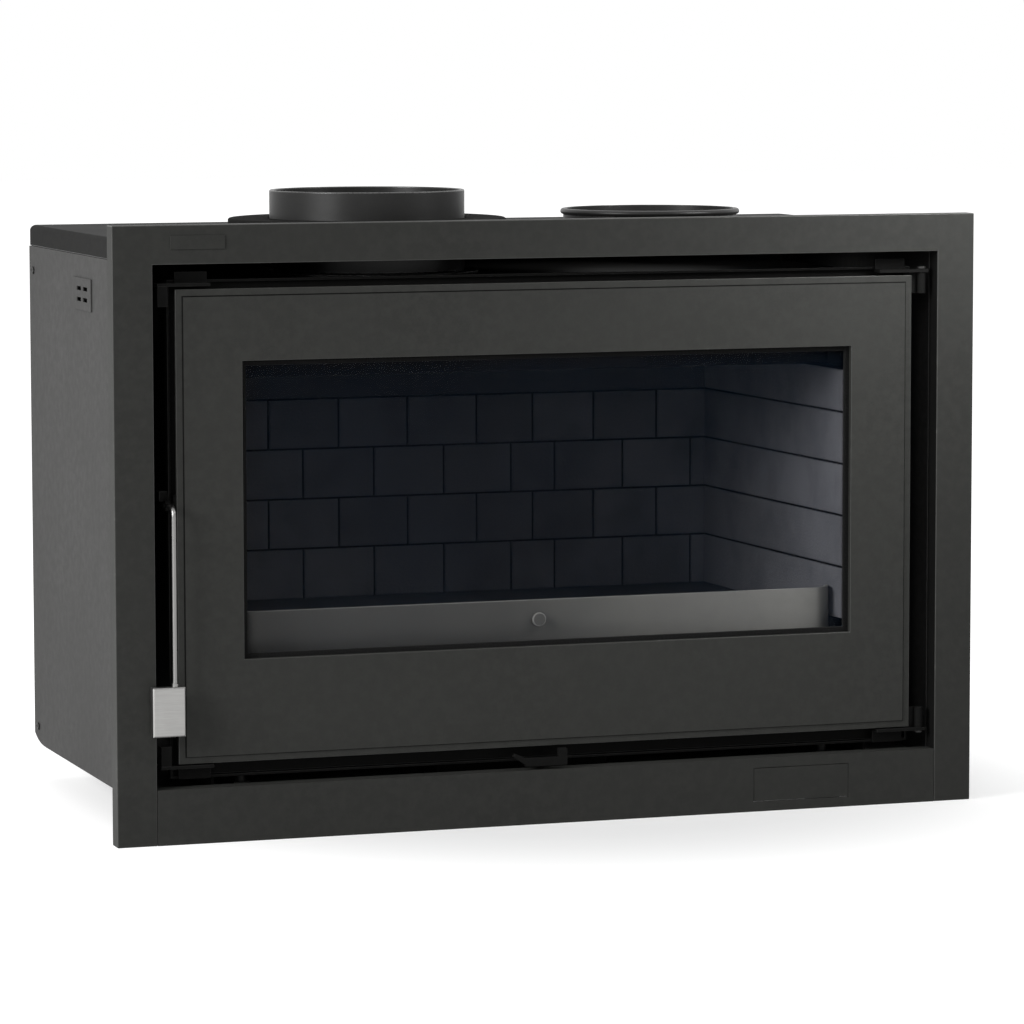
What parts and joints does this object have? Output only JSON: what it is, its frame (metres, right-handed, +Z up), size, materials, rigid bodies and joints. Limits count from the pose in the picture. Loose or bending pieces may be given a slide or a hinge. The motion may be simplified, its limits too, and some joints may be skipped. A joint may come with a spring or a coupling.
{
  "type": "fireplace insert",
  "caption": "Built-in wood fireplace insert: brick-pattern firebox in a convection casing, broad flat surround, right-hung glazed door, lift handle, flue collar and hot air outlet.",
  "frame": {"origin": "on the floor, below the middle of the whole insert's box", "axes": "+Z up, the door faces -Y, +X to the viewer's right along the surround's width"},
  "size_m": [0.9, 0.4678, 0.6283],
  "materials": {
    "front_paint": "fine-textured heat-resistant matt charcoal paint",
    "casing_paint": "matt grey heat-resistant paint on folded sheet",
    "cover_paint": "matt dark grey paint",
    "dark_steel": "matt black painted steel",
    "cast_iron": "satin black painted steel spigots",
    "refractory": "dark moulded refractory with a brick pattern",
    "lip_steel": "satin grey painted steel",
    "stainless": "brushed stainless steel",
    "zinc": "zinc-plated steel",
    "glass": "clear ceramic glass with a faint smoky blue tint",
    "rope": "dark glass-fibre rope and flat tape"
  },
  "bodies": {
    "insert_body": {"surround_frame": "front_paint", "surround_bottom_bar": "front_paint", "bottom_bar_cover_plate": "front_paint", "badge_plate": "front_paint", "casing_left_panel": "casing_paint", "casing_right_panel": "casing_paint", "casing_rear_panel": "casing_paint", "casing_base_panel": "casing_paint", "side_hatch_plate": "casing_paint", "casing_top_cover": "cover_paint", "casing_screw_left_top": "zinc", "casing_screw_left_bottom": "zinc", "casing_screw_right_top": "zinc", "casing_screw_right_bottom": "zinc", "levelling_foot_front_left": "zinc", "levelling_foot_front_right": "zinc", "levelling_foot_rear_left": "zinc", "levelling_foot_rear_right": "zinc", "foot_nut_front_left": "zinc", "foot_nut_front_right": "zinc", "foot_nut_rear_left": "zinc", "foot_nut_rear_right": "zinc", "flue_collar": "cast_iron", "flue_base_ring": "cast_iron", "hot_air_collar": "cast_iron", "firebox_face_frame": "dark_steel", "firebox_shell": "dark_steel", "lining_rear": "refractory", "lining_left": "refractory", "lining_right": "refractory", "hearth_slab": "refractory", "baffle_plate": "refractory", "log_retainer": "lip_steel", "retainer_knob": "lip_steel", "hinge_bracket_top": "dark_steel", "hinge_bracket_bottom": "dark_steel", "spare_bracket_top": "dark_steel", "spare_bracket_bottom": "dark_steel", "hinge_pin_top": "zinc", "hinge_pin_bottom": "zinc", "latch_catch": "dark_steel", "air_box": "dark_steel"},
    "door": {"door_front_plate": "front_paint", "door_back_frame": "dark_steel", "door_glass": "glass", "glass_gasket": "rope", "glass_retainer_top": "dark_steel", "glass_retainer_bottom": "dark_steel", "door_rope_seal": "rope", "door_hinge_arm_top": "dark_steel", "door_hinge_arm_bottom": "dark_steel", "handle_pivot_bracket": "dark_steel"},
    "handle": {"handle_rod": "stainless", "handle_pad": "stainless"},
    "air_control": {"air_control_lever": "dark_steel", "air_slide_plate": "zinc"}
  },
  "joints": [
    {"name": "door_hinge", "type": "hinge", "parent": "insert_body", "child": "door", "pos_m": [0.398, -0.20713, 0.3], "axis": [0, 0, 1], "range_deg": [0, 110]},
    {"name": "handle_lift", "type": "hinge", "parent": "door", "child": "handle", "pos_m": [-0.393, -0.20212, 0.33], "axis": [-1, 0, 0], "range_deg": [0, 30]},
    {"name": "air_slide", "type": "slide", "parent": "insert_body", "child": "air_control", "axis": [1, 0, 0], "range_m": [-0.05, 0.05]}
  ]
}
